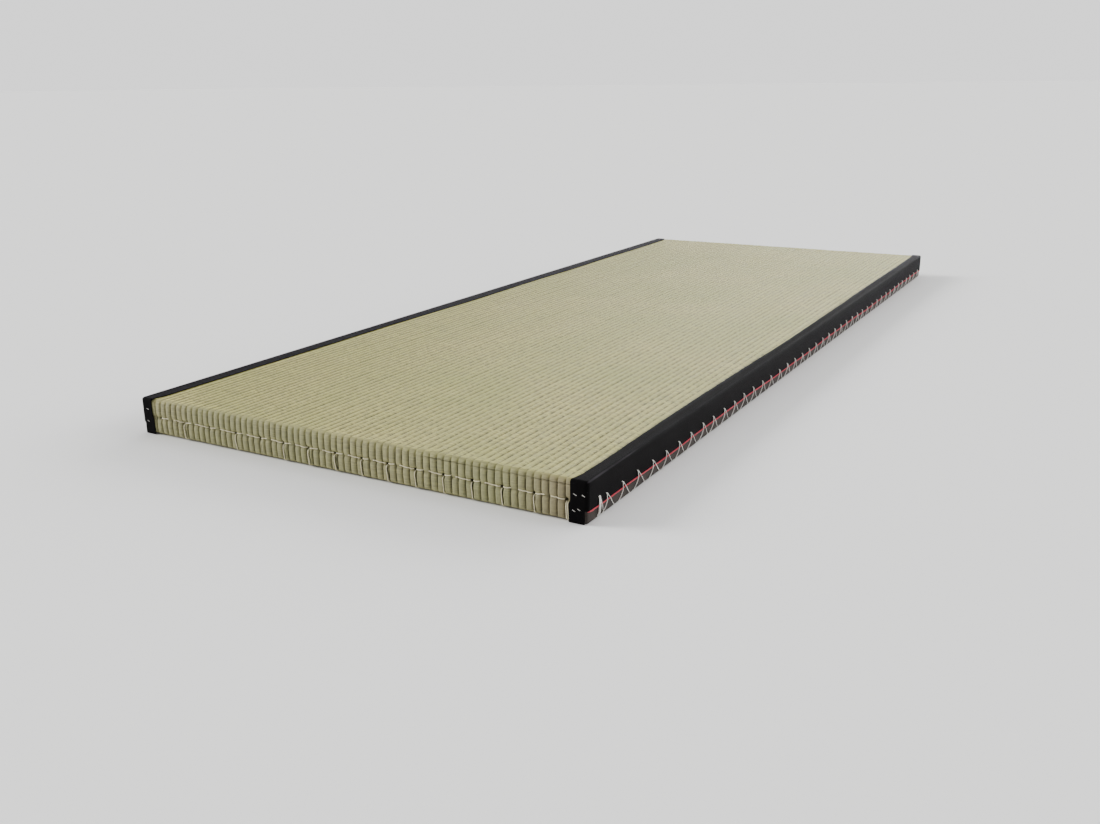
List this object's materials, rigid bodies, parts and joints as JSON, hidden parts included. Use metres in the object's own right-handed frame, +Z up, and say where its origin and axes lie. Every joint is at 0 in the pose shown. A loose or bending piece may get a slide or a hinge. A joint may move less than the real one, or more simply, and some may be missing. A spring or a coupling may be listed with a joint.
{
  "type": "tatami mat",
  "caption": "Flat woven rush mat with lengthwise ribs, black cloth borders along both long sides and a backing sheet.",
  "frame": {"origin": "centre of the underside, on the surface that the mat lies on", "axes": "+Y along the mat's length, from the near end with the crease to the far end; +X across it towards the right-hand border; +Z up out of the rush face"},
  "size_m": [0.8, 2, 0.0585],
  "materials": {
    "woven_rush": "dry woven rush, satin along the stalks",
    "border_cloth": "black woven cotton, soft sheen",
    "backing_weave": "dark woven sheet, matt",
    "red_thread": "twisted red thread",
    "white_thread": "waxed white sewing thread",
    "cream_thread": "cream hemp sewing thread"
  },
  "bodies": {
    "root": {"rush_mat": "woven_rush", "border_left": "border_cloth", "border_right": "border_cloth", "backing_sheet": "backing_weave", "red_edge_left": "red_thread", "red_edge_right": "red_thread"}
  },
  "joints": []
}
